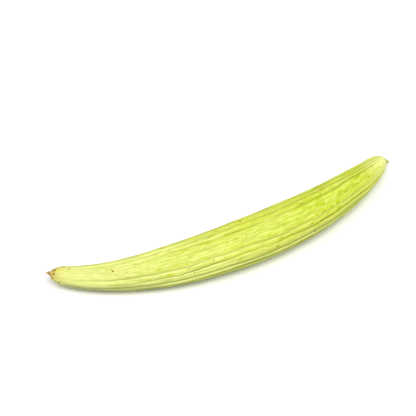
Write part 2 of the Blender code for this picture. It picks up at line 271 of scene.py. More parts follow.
# %% The furrows turned away
TURNED_AWAY_FURROWS = (
    (139, 1.6), (152, 1.9), (165, 1.3), (179, 1.8), (193, 1.9), (209, 1.5), (226, 1.9), (244, 1.6),
    (262, 1.4), (278, 1.4), (295, 1.4), (311, 1.8), (325, 1.6),
)
TWIST = (
    (0, -10), (0.1, -7), (0.25, -3), (0.42, 2), (0.6, 0), (0.78, 1), (0.9, -9), (1, -12),
)
FURROW_PATHS = SEEN_FURROWS + tuple(
    tuple((share, place + turn, depth) for share, turn in TWIST) for place, depth in TURNED_AWAY_FURROWS)
FURROW_COUNT = len(FURROW_PATHS)
print(FURROW_COUNT, "furrows in all")

# %% [markdown]
# Between its points a path is too clean, so every furrow also wanders in two slow waves, and gets
# deeper and shallower in a third. Towards both ends the furrows fade out, as on the real dome.

# %% Every furrow at every place
BLOSSOM_FADE_MM = (4.0, 28.0)
STEM_FADE_MM = (5.0, 28.0)
WANDERS = ((92.0, 0.7), (47.0, 0.4))
DEPTH_WAVE_MM = 130.0
DEPTH_SWING = 0.2
WAVE_SHIFT = 2.4


def furrows_at(share):
    """Place in degrees and depth in mm of every furrow, one row for each share."""
    places, depths = (np.stack([
        smooth_through([(point[0], point[column]) for point in path], share) for path in FURROW_PATHS], 1)
        for column in (1, 2))
    shift = WAVE_SHIFT * np.arange(FURROW_COUNT)
    from_blossom = share[:, None] * LENGTH_MM
    for number, (wave_mm, swing) in enumerate(WANDERS, start=1):
        places = places + swing * np.sin(2 * math.pi * from_blossom / wave_mm + number * shift)
    swell = 1 + DEPTH_SWING * np.sin(2 * math.pi * from_blossom / DEPTH_WAVE_MM + shift)
    ends = smooth_step(from_blossom, *BLOSSOM_FADE_MM) * smooth_step(LENGTH_MM - from_blossom, *STEM_FADE_MM)
    thickness = smooth_through(RADII, share[:, None]) / THICKEST_MM
    return places, np.maximum(depths, 0) * thickness * swell * ends


print("deepest furrow half way:", round(float(furrows_at(np.array([0.5]))[1].max()), 2), "mm")

# %% [markdown]
# ## Noise that closes round the fruit
# Living skin is uneven at every size. Blender's noise textures work in materials, but here we move
# real vertices, so we make our own: random heights on a grid that wraps round the fruit, joined by
# smooth steps. A fixed seed gives the same fruit each time.

# %% Wrapping noise
def skin_noise(along_mm, place_deg, cell_mm, cells_round, seed):
    """Smooth noise from -1 to 1 over the skin, in cells so long and so many round."""
    rows = int(LENGTH_MM / cell_mm) + 3
    heights = np.random.default_rng(seed).uniform(-1, 1, (rows, cells_round))
    row = np.clip(along_mm / cell_mm, 0, rows - 2)
    column = (place_deg / 360 * cells_round) % cells_round
    i, j = np.floor(row).astype(int), np.floor(column).astype(int) % cells_round
    next_j = (j + 1) % cells_round
    u, v = smooth_step(row - i, 0, 1), smooth_step(column - np.floor(column), 0, 1)
    near = heights[i, j] * (1 - v) + heights[i, next_j] * v
    far = heights[i + 1, j] * (1 - v) + heights[i + 1, next_j] * v
    return near * (1 - u) + far * u


sample = skin_noise(np.linspace(0, LENGTH_MM, 500), np.linspace(0, 720, 500), 20.0, 22, seed=1)
print("noise runs from", round(float(sample.min()), 2), "to", round(float(sample.max()), 2))

# %% [markdown]
# ## Ribs and furrows of the fine skin
# The solid has four flat strips for each rib. The skin gets twelve, so the ribs look round and the
# furrows narrow. A subdivision modifier would round them too, but it would soften the furrows. Each
# furrow also jogs sideways a little and changes its depth, as the real ones do.

# %% Furrows that jog
JOGS = ((11.0, 1.3), (4.5, 0.7))
DEPTH_FLICKER = (16.0, 0.3)


def jogged_furrows(shares):
    """Places in degrees and depths in mm of the furrows, less even than a solid could hold them."""
    along = shares[:, None] * LENGTH_MM
    places, depths = furrows_at(shares)
    own_column = 360 / FURROW_COUNT * np.arange(FURROW_COUNT) + 0 * along
    for number, (cell_mm, swing) in enumerate(JOGS):
        places = places + swing * skin_noise(along, own_column, cell_mm, FURROW_COUNT, seed=11 + number)
    cell_mm, swing = DEPTH_FLICKER
    return places, depths * (1 + swing * skin_noise(along, own_column, cell_mm, FURROW_COUNT, seed=21))


print("furrows jog every", " and ".join(str(cell_mm) for cell_mm, _ in JOGS), "mm")

# %% Ribs between them
COLUMNS_PER_RIB = 12
RIB_FULLNESS = 2.5
VALLEY_ROUND = 0.09
VALLEY_SPREAD = 4


def ribs_between(places, depths):
    """For every column of the skin: its place, how far it is sunk, and how deep in a furrow it lies."""
    next_places = np.roll(places, -1, axis=1)
    next_places[:, -1] += 360
    next_depths = np.roll(depths, -1, axis=1)
    across = np.arange(COLUMNS_PER_RIB) / COLUMNS_PER_RIB
    place = places[:, :, None] + (next_places - places)[:, :, None] * across
    depth = depths[:, :, None] + (next_depths - depths)[:, :, None] * across
    from_furrow = 1 - np.abs(2 * across - 1)
    rounded = np.sqrt(from_furrow ** 2 + VALLEY_ROUND ** 2) - VALLEY_ROUND / (1 + VALLEY_SPREAD * from_furrow)
    sunk = depth * np.clip(1 - rounded, 0, 1) ** RIB_FULLNESS
    furrow = depth * np.clip(1 - from_furrow, 0, 1) ** RIB_FULLNESS
    return [values.reshape(len(places), -1) for values in (place, sunk, furrow)]


print(FURROW_COUNT * COLUMNS_PER_RIB, "columns round the fruit")

# %% [markdown]
# ## Small relief
# The ribs swell and sink, hair-fine creases run along them, and shallow dimples cover the thick part.
# The young end near the flower is smoother, and its skin is drawn together in puckers round the dried
# flower. A displacement texture needs a denser mesh; this moves only the vertices that we have.

# %% Swellings, creases and dimples
SWELLINGS = {"cell_mm": 24.0, "cells_round": FURROW_COUNT, "seed": 31}
SWELLING_MM = 0.4
CREASES = {"cell_mm": 24.0, "cells_round": 78, "seed": 32}
CREASE_MM = 0.3
CREASE_WIDTH = 0.3
CREASE_START_MM = (30.0, 110.0)
DIMPLES = {"cell_mm": 7.0, "cells_round": 66, "seed": 33}
DIMPLE_MM = 0.12
DIMPLE_START_MM = (20.0, 120.0)
YOUNG_DIMPLES = 0.4
CALM_BLOSSOM_MM = (6.0, 40.0)
CALM_STEM_MM = (8.0, 50.0)
CALM_SHARE = 0.25


def skin_relief(along, place, thickness):
    """Height of the small forms in mm, and how strongly each vertex is creased."""
    relief = SWELLING_MM * skin_noise(along, place, **SWELLINGS)
    crossing = np.abs(skin_noise(along, place, **CREASES))
    crease = np.clip(1 - crossing / CREASE_WIDTH, 0, 1) * smooth_step(along, *CREASE_START_MM)
    relief = relief - CREASE_MM * crease
    dimple = DIMPLE_MM * (YOUNG_DIMPLES + (1 - YOUNG_DIMPLES) * smooth_step(along, *DIMPLE_START_MM))
    relief = relief + dimple * skin_noise(along, place, **DIMPLES)
    calm = smooth_step(along, *CALM_BLOSSOM_MM) * smooth_step(LENGTH_MM - along, *CALM_STEM_MM)
    return relief * thickness * (CALM_SHARE + (1 - CALM_SHARE) * calm), crease


print("relief of up to", round(SWELLING_MM + CREASE_MM + DIMPLE_MM, 2), "mm")

# %% Puckers round the flower
PUCKERS = 13
PUCKER_MM = 0.28
PUCKER_REACH_MM = 9.0
PUCKER_START_MM = 2.5
PUCKER_DRIFT = 2
PUCKER_DRIFTS = {"cell_mm": 5.0, "cells_round": 9, "seed": 34}


def puckers(along, place):
    """Height in mm of the folds that draw the skin together round the dried flower."""
    near_flower = np.clip(1 - (along - BLOSSOM_SEAT_MM) / PUCKER_REACH_MM, 0, 1) ** 2
    folds = np.sin(np.radians(place) * PUCKERS + PUCKER_DRIFT * skin_noise(along, place, **PUCKER_DRIFTS))
    return PUCKER_MM * near_flower * folds * smooth_step(along, 0, PUCKER_START_MM)


print(PUCKERS, "puckers over", PUCKER_REACH_MM, "mm")

# %% [markdown]
# ## The skin as a mesh
# Rings of points are 1.4 mm apart along the body, and closer towards both ends, where the shape turns
# fast. Four neighbours make one face. The lowest rib is pressed flat where the fruit rests on it.

# %% Rings along the fruit
BLOSSOM_RINGS = 40
BODY_RINGS = 268
STEM_RINGS = 48


def closing_in(seat_mm, cap_mm, rings):
    """Distances from a pole, from the seat to where the rounding starts, closer near the seat."""
    return seat_mm + (cap_mm - seat_mm) * (1 - np.cos(np.linspace(0, math.pi / 2, rings)))


blossom_end = closing_in(BLOSSOM_SEAT_MM, BLOSSOM_CAP_MM, BLOSSOM_RINGS)
stem_end = LENGTH_MM - closing_in(STEM_SEAT_MM, STEM_CAP_MM, STEM_RINGS)[::-1]
body = np.linspace(BLOSSOM_CAP_MM, LENGTH_MM - STEM_CAP_MM, BODY_RINGS + 2)[1:-1]
shares = np.concatenate([blossom_end, body, stem_end]) / LENGTH_MM
print(len(shares), "rings")

# %% Points of the skin
centre, _, sideways, upward = frame_at(shares)
furrow_places, furrow_depths = jogged_furrows(shares)
skin_place, skin_sunk, skin_furrow = ribs_between(furrow_places, furrow_depths)
skin_along = shares[:, None] * LENGTH_MM + 0 * skin_place
skin_radius = crest_radius(shares)[:, None] + 0 * skin_place
skin_height, skin_crease = skin_relief(skin_along, skin_place, skin_radius / THICKEST_MM)
skin_angle = np.radians(skin_place)
outward = np.cos(skin_angle)[..., None] * sideways[:, None] + np.sin(skin_angle)[..., None] * upward[:, None]
reach = skin_radius - skin_sunk + (skin_height + puckers(skin_along, skin_place))
skin_rings = centre[:, None] + reach[..., None] * outward
skin_rings[..., 2] = np.maximum(skin_rings[..., 2], 0)
resting = (skin_rings[..., 2] == 0).any(axis=1)
print("the fruit rests on a strip", round(float(np.ptp(shares[resting])) * LENGTH_MM), "mm long")

# %% A closed mesh from rings
def solid_from_rings(name, rings):
    """One closed object through rings of points in mm, with a fan of faces over each end."""
    count, sides = rings.shape[:2]
    points = np.concatenate([rings.reshape(-1, 3), rings[:1].mean(axis=1), rings[-1:].mean(axis=1)]) * MM
    first = np.arange(count - 1)[:, None] * sides + np.arange(sides)
    second = np.arange(count - 1)[:, None] * sides + np.roll(np.arange(sides), -1)
    quads = np.stack([first, second, second + sides, first + sides], -1).reshape(-1, 4)
    rim = np.arange(sides)
    low_fan = np.stack([np.roll(rim, -1), rim, np.full(sides, count * sides)], -1)
    high_fan = np.stack([rim, np.roll(rim, -1), np.full(sides, count * sides + 1)], -1)
    high_fan[:, :2] += (count - 1) * sides
    mesh = bpy.data.meshes.new(name)
    mesh.from_pydata(points.tolist(), [], quads.tolist() + low_fan.tolist() + high_fan.tolist())
    mesh.validate()
    fixer = bmesh.new()
    fixer.from_mesh(mesh)
    bmesh.ops.recalc_face_normals(fixer, faces=fixer.faces)
    fixer.to_mesh(mesh)
    fixer.free()
    mesh.shade_smooth()
    return placed(name, mesh)


skin = solid_from_rings("skin", skin_rings)
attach(skin, "root")
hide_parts("fruit")
print("skin:", len(skin.data.vertices), "vertices,", len(skin.data.polygons), "faces")

# %% [markdown]
# ## A straightened map of the skin
# Streaks run along the fruit, bow and all. With plain object coordinates they would run straight
# through the bow. So each vertex also keeps where it would be if the fruit were straight. A UV map
# could hold this too, but it has a seam, and patterns would break at it.

# %% Store the map
def store(piece, name, values, kind="FLOAT"):
    """Keeps a number or a vector for each vertex of a piece, for its material to read."""
    attribute = piece.data.attributes.new(name, kind, "POINT")
    field = "vector" if kind == "FLOAT_VECTOR" else "value"
    attribute.data.foreach_set(field, np.asarray(values, np.float32).ravel())


def keep(name, values, at_poles=(0, 0)):
    """Stores a value for each vertex of the skin, with one more for the middle of each end."""
    store(skin, name, np.concatenate([values.ravel(), at_poles]))


straight = np.stack([skin_along, skin_radius * np.cos(skin_angle), skin_radius * np.sin(skin_angle)], -1)
ends_straight = np.array([[skin_along[0, 0], 0, 0], [skin_along[-1, 0], 0, 0]])
store(skin, "straight", np.concatenate([straight.reshape(-1, 3), ends_straight]) * MM, "FLOAT_VECTOR")
keep("along", skin_along / LENGTH_MM, (0, 1))
keep("furrow", skin_furrow)
keep("crease", skin_crease)
print("furrow depth runs to", round(float(skin_furrow.max()), 2), "mm")

# %% [markdown]
# ## Green marks
# The skin is pale because leaves shaded it. Green is left in short blotches, mostly beside furrows.
# We note each clear one as a mark: share of the length, place round the fruit, length and width in
# mm, and strength. An image would also work, but marks stay sharp at any size and are easy to move.

# %% The green marks that show
GREEN_MARKS = (
    (0.234, 18.5, 3.4, 2.4, 0.8), (0.24, 61, 3, 2.2, 0.6), (0.262, 46, 2.8, 2.2, 0.8),
    (0.264, 23.5, 5, 1.8, 0.6), (0.282, 23, 8, 2.6, 0.9), (0.287, 42, 5, 2.6, 0.7),
    (0.3, 43.5, 4.4, 1.8, 0.9), (0.298, 61.5, 4, 1.8, 0.5), (0.308, 64.5, 3, 1.6, 0.5),
    (0.319, 84.5, 5, 1.8, 0.8), (0.324, 41, 4, 1.8, 0.8), (0.324, 77, 4, 1.6, 0.6), (0.325, 25, 3, 2, 0.9),
    (0.344, 98.5, 7, 2.4, 1), (0.358, 98.5, 8, 2.8, 1.25), (0.381, 83, 15, 2.6, 1.15),
    (0.402, 98.5, 8, 2.8, 1.3), (0.414, 29.5, 3.4, 1.8, 0.7), (0.417, 49.5, 5, 2, 0.6),
    (0.42, 110, 9, 1.8, 0.7), (0.428, 64.5, 5, 2, 0.8), (0.436, 86, 6, 2.2, 1), (0.448, 86, 6, 2, 0.9),
    (0.446, 12, 5, 2.4, 0.8), (0.452, 65.5, 4, 2.2, 0.8), (0.46, 84.5, 10, 2.6, 1.15),
    (0.465, 102, 8, 2, 0.9), (0.505, 81.5, 6, 2, 0.8), (0.528, 45.5, 3, 2, 0.9), (0.542, 9.5, 4, 2.6, 1.2),
    (0.555, 27, 7, 2.2, 0.9), (0.558, 56, 4, 1.6, 0.8), (0.607, 56, 4, 1.6, 0.8),
    (0.611, 47.5, 4, 2.2, 0.5), (0.61, 99, 16, 2.2, 0.7), (0.634, 81, 8, 2.4, 1),
    (0.642, 26.5, 7, 2.4, 0.8), (0.648, 82, 10, 3.2, 1.3), (0.656, 64, 4, 2.2, 0.8),
    (0.665, 42, 4, 3, 0.9), (0.67, 81.5, 11, 2.6, 1.1), (0.674, 22, 4, 2.2, 0.8),
    (0.677, 62.5, 6, 2.6, 1.2), (0.684, 98.5, 9, 2.4, 1), (0.686, 40.5, 4, 2.8, 1),
    (0.693, 60.5, 6, 2.6, 1), (0.696, 82.5, 12, 2.8, 1.2), (0.7, 102, 9, 2.4, 0.9),
    (0.712, 41, 3.4, 2, 1.2), (0.724, 81.5, 7, 2, 0.9), (0.732, 26, 8, 3, 0.9), (0.735, 42, 7, 2.8, 0.9),
    (0.748, 60.5, 5, 2.2, 0.9), (0.749, 82, 5, 2.2, 0.8), (0.76, 63.5, 6, 2, 0.8), (0.773, 57, 6, 2.6, 1),
    (0.785, 63, 6, 2.4, 0.8), (0.79, 84, 14, 2.4, 0.8), (0.806, 58.5, 5, 2.2, 1),
    (0.818, 56.5, 5, 2.2, 1.1), (0.818, 81.5, 6, 1.6, 0.8), (0.822, 96, 6, 1.6, 0.7),
    (0.83, 73.5, 6, 1.7, 0.9), (0.842, 75, 5, 2.2, 1.3), (0.84, 55.5, 4, 2, 0.8), (0.85, 84, 6, 1.4, 0.7),
    (0.86, 62, 9, 1.8, 0.5), (0.87, 18, 10, 1.6, 0.5), (0.89, 90, 9, 1.4, 0.4), (0.906, 74, 3, 1.8, 0.8),
)
print(len(GREEN_MARKS), "green marks")

# %% [markdown]
# ## Rusty scars
# Round the dried flower the skin healed into brown scars, and where it rubbed on something it has
# tan dashes. They are marks of the same kind, and the weakest only tint the skin.

# %% The rusty marks
RUST_MARKS = (
    (0.0098, 86, 3, 3.2, 1.1), (0.0157, 84, 3, 3, 1.3), (0.0155, 53, 3, 2.8, 1.2),
    (0.0125, 44, 2.4, 2, 0.9), (0.0062, 36, 2.8, 3.2, 1.1), (0.0085, 24, 3, 2.8, 1.1),
    (0.0125, 12, 3.6, 2.6, 1), (0.0075, 112, 3, 3, 0.9), (0.008, -20, 3, 3.4, 0.9),
    (0.01, 150, 3.4, 3, 0.9), (0.009, 200, 3, 3.4, 0.9), (0.012, 235, 3, 2.6, 0.8),
    (0.01, 275, 3.2, 3.2, 0.9), (0.0295, 1, 3, 2.4, 1), (0.034, 111, 7, 1.8, 0.9),
    (0.05, 96.5, 3, 1.9, 0.6), (0.1435, 116, 7, 2.4, 0.65), (0.189, 95, 6, 2.2, 0.62),
    (0.2128, 76, 7, 2.2, 0.52), (0.24, 90, 7, 2, 0.52), (0.246, 73.5, 4, 2, 0.42),
    (0.262, 92.5, 5, 2, 0.56), (0.2826, 124, 8, 2.6, 0.62), (0.2944, 92.5, 7, 2.2, 0.52),
    (0.319, 95.5, 5, 2, 0.48), (0.339, 102.5, 5, 2, 0.42), (0.736, 121, 10, 3.2, 0.66),
    (0.732, 80, 4, 1.6, 0.4), (0.776, 77.5, 3, 1.6, 0.35), (0.62, 160, 9, 2, 0.6), (0.4, 200, 3, 2, 0.8),
    (0.3, 250, 6, 2, 0.5),
)
print(len(RUST_MARKS), "rusty marks")

# %% [markdown]
# Each vertex now keeps how much green and rust it has. Weaker green marks from a seeded draw lie
# between the others, so that no side is bare.

# %% Marks on the vertices
LOOSE_GREEN_MARKS = 90
LOOSE_GREEN_SHARES = (0.2, 0.93)
LOOSE_GREEN_MM = ((3.0, 10.0), (1.2, 2.2))
LOOSE_GREEN_STRENGTH = (0.25, 0.75)
EDGE_FALL = 0.7


def off_sideways(place, width_mm):
    """How far each vertex is from a place round the fruit, in half widths of a mark."""
    turn = (skin_place - place + 180) % 360 - 180
    return np.radians(turn) * skin_radius / (width_mm / 2)


def marked(marks):
    """How strongly each vertex of the skin is marked: round-topped spots that follow the skin."""
    total = np.zeros(skin_along.shape)
    for share, place, length_mm, width_mm, strength in marks:
        off_along = (skin_along - share * LENGTH_MM) / (length_mm / 2)
        off = off_along ** 2 + off_sideways(place, width_mm) ** 2
        total = np.maximum(total, strength * np.exp(-EDGE_FALL * off))
    return total


random = np.random.default_rng(seed=7)
loose_marks = np.stack([
    random.uniform(low, high, LOOSE_GREEN_MARKS)
    for low, high in (LOOSE_GREEN_SHARES, (0, 360), *LOOSE_GREEN_MM, LOOSE_GREEN_STRENGTH)], 1)
keep("green", np.maximum(marked(GREEN_MARKS), marked(loose_marks)))
keep("rust", marked(RUST_MARKS), (1, 0))
print(len(GREEN_MARKS) + LOOSE_GREEN_MARKS, "green marks in all")

# %% [markdown]
# ## Dark lines
# Some furrows hold more green than others, for part of their length. On the underside, the lines in
# the two lowest furrows are also painted shade, darker than the light makes them there. A dark line
# follows a furrow by its number, with a shift in degrees, a width in mm and a strength that changes
# along it.

# %% Lines in the furrows
DARK_AND_SHADE_LINES = (
    # the two lowest furrows, on the underside: darker green and painted shade
    (0, 0, 4.4, ((0, 0.4), (0.06, 0.5), (0.12, 0.6), (0.17, 0.6), (0.2, 0.6), (0.24, 0.9), (0.28, 0.6),
        (0.34, 0.6), (0.42, 0.6), (0.5, 0.9), (0.64, 1), (0.7, 1), (0.78, 0.6), (0.83, 0), (0.9, 0),
        (1, 0))),
    (1, 0, 2.8, ((0, 0.4), (0.05, 0.8), (0.1, 0.9), (0.15, 0.9), (0.2, 0.8), (0.26, 0.7), (0.3, 0.2),
        (0.36, 0.4), (0.42, 0.3), (0.5, 0.5), (0.62, 0.9), (0.68, 1.2), (0.8, 1.2), (0.85, 1), (0.9, 0.6),
        (0.94, 0.2), (1, 0))),
    (3, 0, 2, ((0, 0), (0.2, 0.3), (0.3, 0.3), (0.36, 0), (0.42, 0.3), (0.5, 0.2), (0.6, 0), (0.76, 0.1),
        (0.82, 0.4), (0.86, 0.6), (0.9, 0.5), (0.95, 0.3), (1, 0))),
    (4, 0, 1.8, ((0, 0), (0.2, 0.4), (0.3, 0.6), (0.42, 0.5), (0.5, 0.5), (0.6, 0.3), (0.9, 0.2), (1, 0))),
    (7, 0, 2.2, ((0, 0), (0.7, 0), (0.76, 0.4), (0.8, 0.6), (0.86, 0.6), (0.92, 0.4), (1, 0))),
    (8, -3, 2.2, ((0, 0), (0.5, 0), (0.6, 0.2), (0.76, 0.3), (0.82, 0.8), (0.88, 0.7), (0.94, 0.4), (1, 0))),
    (9, -2, 3.2, ((0, 0), (0.15, 0), (0.5, 0.4), (0.64, 0.7), (0.72, 1), (0.8, 0.8), (0.9, 0.8), (1, 0))),
)
print(len(DARK_AND_SHADE_LINES), "dark lines in furrows")

# %% [markdown]
# Other lines keep to no furrow. Each is a width in mm and a path of share of the length, place round
# the fruit, and strength. Dark ones lie on the flanks, and along the lower edge near the flower and
# along the far side they are painted shade. Pale ones lie along the crests, partly paler skin and
# partly a painted highlight where the crests catch the light. Broad rich bands give the flanks a
# fuller yellow-green, and the narrow one along the far edge is painted green light reflected onto it.

# %% Dark lines of their own, partly painted shade
DARK_AND_SHADE_PATHS = (
    # the next two paths are painted shade along the lower edge near the flower
    (5.4, ((0, -14, 0), (0.03, -15, 0.45), (0.06, -15, 0.8), (0.09, -15, 0.85), (0.12, -11, 0.8),
        (0.16, -3, 0.4), (0.2, -6, 0.4), (0.24, -10, 0.5), (0.28, -6, 0))),
    (2.4, ((0.09, 3, 0), (0.12, 3, 0.35), (0.14, 3, 0.2), (0.17, 3, 0))),
    # the next four paths are painted shade along the far side
    (3.2, ((0.04, 129, 0), (0.08, 129, 0.8), (0.12, 130, 0.8), (0.16, 130, 0.15), (0.2, 130, 0.7),
        (0.24, 130, 0.4), (0.28, 133, 0.8), (0.34, 133, 0.6), (0.4, 133, 1.1), (0.45, 132, 1),
        (0.48, 132, 0.2), (0.52, 132, 0.2), (0.56, 132, 1), (0.59, 132, 0))),
    (4, ((0.05, 124, 0), (0.08, 122, 0.35), (0.13, 122, 0.3), (0.17, 121, 0), (0.23, 118, 0.3),
        (0.28, 117, 0))),
    (3.4, ((0.68, 119, 0), (0.715, 121, 0.7), (0.735, 122, 1.2), (0.755, 118, 0.9), (0.78, 117, 0.3),
        (0.8, 117, 0))),
    (4, ((0.62, 114, 0), (0.66, 114, 0.4), (0.69, 116, 0.8), (0.73, 114, 0.8), (0.77, 114, 0.2),
        (0.8, 114, 0))),
    (2.8, ((0.74, 38, 0), (0.78, 38, 0.4), (0.82, 37, 0.5), (0.87, 34, 0))),
    (3.6, ((0.44, 8, 0), (0.48, 7, 0.3), (0.52, 6, 0.65), (0.56, 5, 0.45), (0.6, 8, 0.2), (0.65, 9, 0.4),
        (0.72, 4, 0.6), (0.8, 6, 0.75), (0.84, 1, 0.6), (0.88, -8, 0.8), (0.92, -8, 0.3), (0.95, -8, 0))),
    (4, ((0.54, -20, 0), (0.6, -18, 0.5), (0.64, -13, 0.7), (0.68, -9, 0.5), (0.72, -11, 0.5),
        (0.75, -11, 0))),
    (1.4, ((0.66, -16, 0), (0.7, -14, 0.9), (0.745, -11, 1.2), (0.77, -8, 1.2), (0.8, -6, 1),
        (0.83, -6, 0))),
)
print(len(DARK_AND_SHADE_PATHS), "dark lines with their own path")

# %% Pale lines and painted highlights
PALE_AND_HIGHLIGHT_LINES = (
    # pale lines along the crests: paler skin, and a painted highlight where the crests catch the light
    (3.4, ((0.18, -14, 0), (0.22, -13, 0.4), (0.28, -12, 1), (0.32, -9.5, 1), (0.36, -6, 1), (0.4, -5, 1),
        (0.44, -4, 0.9), (0.52, -4, 0.9), (0.6, -6, 1), (0.66, -4.5, 1), (0.74, -5, 0.9), (0.8, -6, 0))),
    (4.6, ((0.18, 4, 0), (0.22, 6, 0.7), (0.26, 9, 0.8), (0.32, 11, 1), (0.36, 13, 1.2), (0.4, 14, 0.8),
        (0.44, 15, 0.6), (0.48, 15, 0.7), (0.56, 14, 0.5), (0.62, 13, 0.6), (0.68, 15, 0.5),
        (0.75, 14, 0.3), (0.84, 8, 0.5), (0.9, 5, 0))),
    (3, ((0.18, 28, 0), (0.24, 31, 0.8), (0.3, 31, 0.9), (0.36, 35, 0.9), (0.44, 36, 0.8), (0.52, 33, 0.7),
        (0.6, 32, 0.6), (0.72, 33, 0.5), (0.8, 30, 0.4), (0.87, 30, 0.8), (0.92, 28, 0.6), (0.96, 28, 0))),
    (4, ((0.14, 88, 0), (0.2, 90, 0.7), (0.28, 92, 0.7), (0.32, 91, 0.5), (0.36, 89, 0.7), (0.42, 91, 0.6),
        (0.48, 91, 0.1), (0.6, 90, 0), (0.72, 90, 0), (0.79, 90, 0.5), (0.84, 91, 0))),
    (7, ((0.02, 106, 0), (0.07, 108, 0.5), (0.13, 107, 0.6), (0.18, 106, 0.4), (0.24, 106, 0.7),
        (0.28, 106, 1.1), (0.32, 108, 0.8), (0.44, 110, 0.6), (0.5, 109, 0.3), (0.54, 108, 0))),
    (3, ((0.25, 113, 0), (0.28, 113, 0.9), (0.31, 112, 0))),
    (3.4, ((0.33, 105, 0), (0.36, 104, 0.9), (0.4, 106, 0.7), (0.43, 106, 0))),
    (3, ((0.5, 104, 0), (0.56, 104, 0.3), (0.72, 104, 0.3), (0.8, 103, 0))),
    (2.4, ((0.58, 21, 0), (0.62, 20, 0.6), (0.68, 21, 0.7), (0.73, 22, 0))),
    (7, ((0.02, 14, 0), (0.06, 14, 0.6), (0.12, 14, 0.7), (0.16, 18, 0.5), (0.19, 22, 0.3), (0.22, 24, 0))),
    (14, ((0.87, 92, 0), (0.91, 94, 1), (0.97, 90, 1.2), (1, 85, 1))),
)
print(len(PALE_AND_HIGHLIGHT_LINES), "pale lines")

# %% Rich bands and painted reflection
RICH_AND_REFLECTED_BANDS = (
    (16, ((0.26, 112, 0), (0.32, 108, 0.4), (0.36, 106, 0.6), (0.4, 112, 0.8), (0.44, 108, 1),
        (0.48, 108, 1.3), (0.52, 104, 0.6), (0.56, 104, 0.4), (0.6, 104, 0.6), (0.64, 104, 0.6),
        (0.68, 104, 0.9), (0.72, 106, 0.9), (0.76, 112, 0.7), (0.8, 118, 0.5), (0.84, 124, 0.6),
        (0.88, 120, 1), (0.92, 118, 0.8), (0.96, 120, 0.9), (1, 120, 0.5))),
    (12, ((0.4, 30, 0), (0.44, 30, 0.7), (0.48, 26, 0.9), (0.52, 20, 0.8), (0.56, 18, 0.8), (0.6, 20, 1),
        (0.64, 22, 0.7), (0.68, 26, 1), (0.72, 24, 1), (0.76, 20, 0.2), (0.8, 20, 0.6), (0.84, 30, 1),
        (0.88, 34, 0.7), (0.92, 38, 0.2), (0.95, 38, 0))),
    (6, ((0.84, 0, 0), (0.87, -3, 1), (0.9, -6, 1), (0.93, -10, 1), (0.96, -12, 0))),
    # painted reflection: green light thrown onto the far edge
    (5, ((0.05, 127, 0), (0.08, 127, 1.2), (0.12, 126, 0.8), (0.15, 126, 0), (0.2, 128, 0.6),
        (0.24, 127, 0.8), (0.28, 128, 1.4), (0.31, 128, 0.2), (0.36, 128, 1.4), (0.44, 128, 1.6),
        (0.48, 126, 0))),
)
print(len(RICH_AND_REFLECTED_BANDS), "rich bands")

# %% [markdown]
# Where lines cross, the stronger one wins. Their sum would make a knot at every crossing.

# %% Lines on the vertices
def lined(place, width_mm, strength):
    """How strongly each vertex is tinted by a line along the fruit, given for each ring."""
    across = off_sideways(place[:, None], width_mm)
    return np.maximum(strength, 0)[:, None] * np.exp(-EDGE_FALL * across ** 2)


def pathed(lines):
    """How strongly each vertex is tinted by lines whose paths are (share, place, strength)."""
    total = 0 * skin_along
    for width_mm, path in lines:
        place = smooth_through([(share, place) for share, place, _ in path], shares)
        strength = smooth_through([(share, strength) for share, _, strength in path], shares)
        total = np.maximum(total, lined(place, width_mm, strength))
    return total


# The dark lines are partly darker green and partly painted shade.
skin_dark_and_shade = pathed(DARK_AND_SHADE_PATHS)
for number, shift_deg, width_mm, path in DARK_AND_SHADE_LINES:
    line = lined(furrow_places[:, number] + shift_deg, width_mm, smooth_through(path, shares))
    skin_dark_and_shade = np.maximum(skin_dark_and_shade, line)
keep("dark", skin_dark_and_shade)
keep("pale", pathed(PALE_AND_HIGHLIGHT_LINES))
keep("rich", pathed(RICH_AND_REFLECTED_BANDS))
print("share of the skin under a dark line:", round(float((skin_dark_and_shade > 0.3).mean()), 2))

# %% [markdown]
# ## Colours and nodes
# Colours are sRGB hex values, as a colour picker shows them, and shaders count in linear light, so
# one function turns the first into the second. Another adds any shader node, with its settings and
# links, which keeps a material readable from top to bottom.

# %% Two helpers for materials
def linear(colour):
    """A linear RGBA colour from an sRGB hex value."""
    parts = [int(colour[i:i + 2], 16) / 255 for i in (0, 2, 4)]
    return (*[part / 12.92 if part <= 0.04045 else ((part + 0.055) / 1.055) ** 2.4 for part in parts], 1.0)


def add_node(tree, kind, inputs, **settings):
    """Adds a shader node: settings are its own properties, inputs its sockets, by value or by link."""
    node = tree.nodes.new("ShaderNode" + kind)
    for name, value in settings.items():
        setattr(node, name, value)
    for socket, value in inputs.items():
        if isinstance(value, bpy.types.NodeSocket):
            tree.links.new(value, node.inputs[socket])
        else:
            node.inputs[socket].default_value = value
    return node


print("pale skin in linear light:", [round(c, 3) for c in linear("E4EC86")])

# %% [markdown]
# ## Skin of the fruit
# The real thing is a plant's skin, grown and never worked: clear cells under a thin coat of wax,
# over wet pale flesh. To the eye it is yellow-green, warmer at both ends, with a soft gloss. We
# start with its ground colour, which a ramp changes from end to end. Vertex colours would do as
# well, but stops are easier to move.

# %% Ground colour
def new_material(name):
    """An empty node material and its tree."""
    material = bpy.data.materials.new(name)
    material.use_nodes = True
    material.node_tree.nodes.clear()
    return material, material.node_tree


def ground(tree, name, stops, interpolation="LINEAR"):
    """The colour that changes with a number that the vertices keep, through (place, shade) stops."""
    kept = add_node(tree, "Attribute", {}, attribute_name=name)
    ramp = add_node(tree, "ValToRGB", {"Fac": kept.outputs["Fac"]})
    ramp.color_ramp.interpolation = interpolation
    for number, (place, shade) in enumerate(stops):
        elements = ramp.color_ramp.elements
        stop = elements[number] if number < 2 else elements.new(place)
        stop.position = place
        stop.color = linear(shade)
    return ramp.outputs[0]


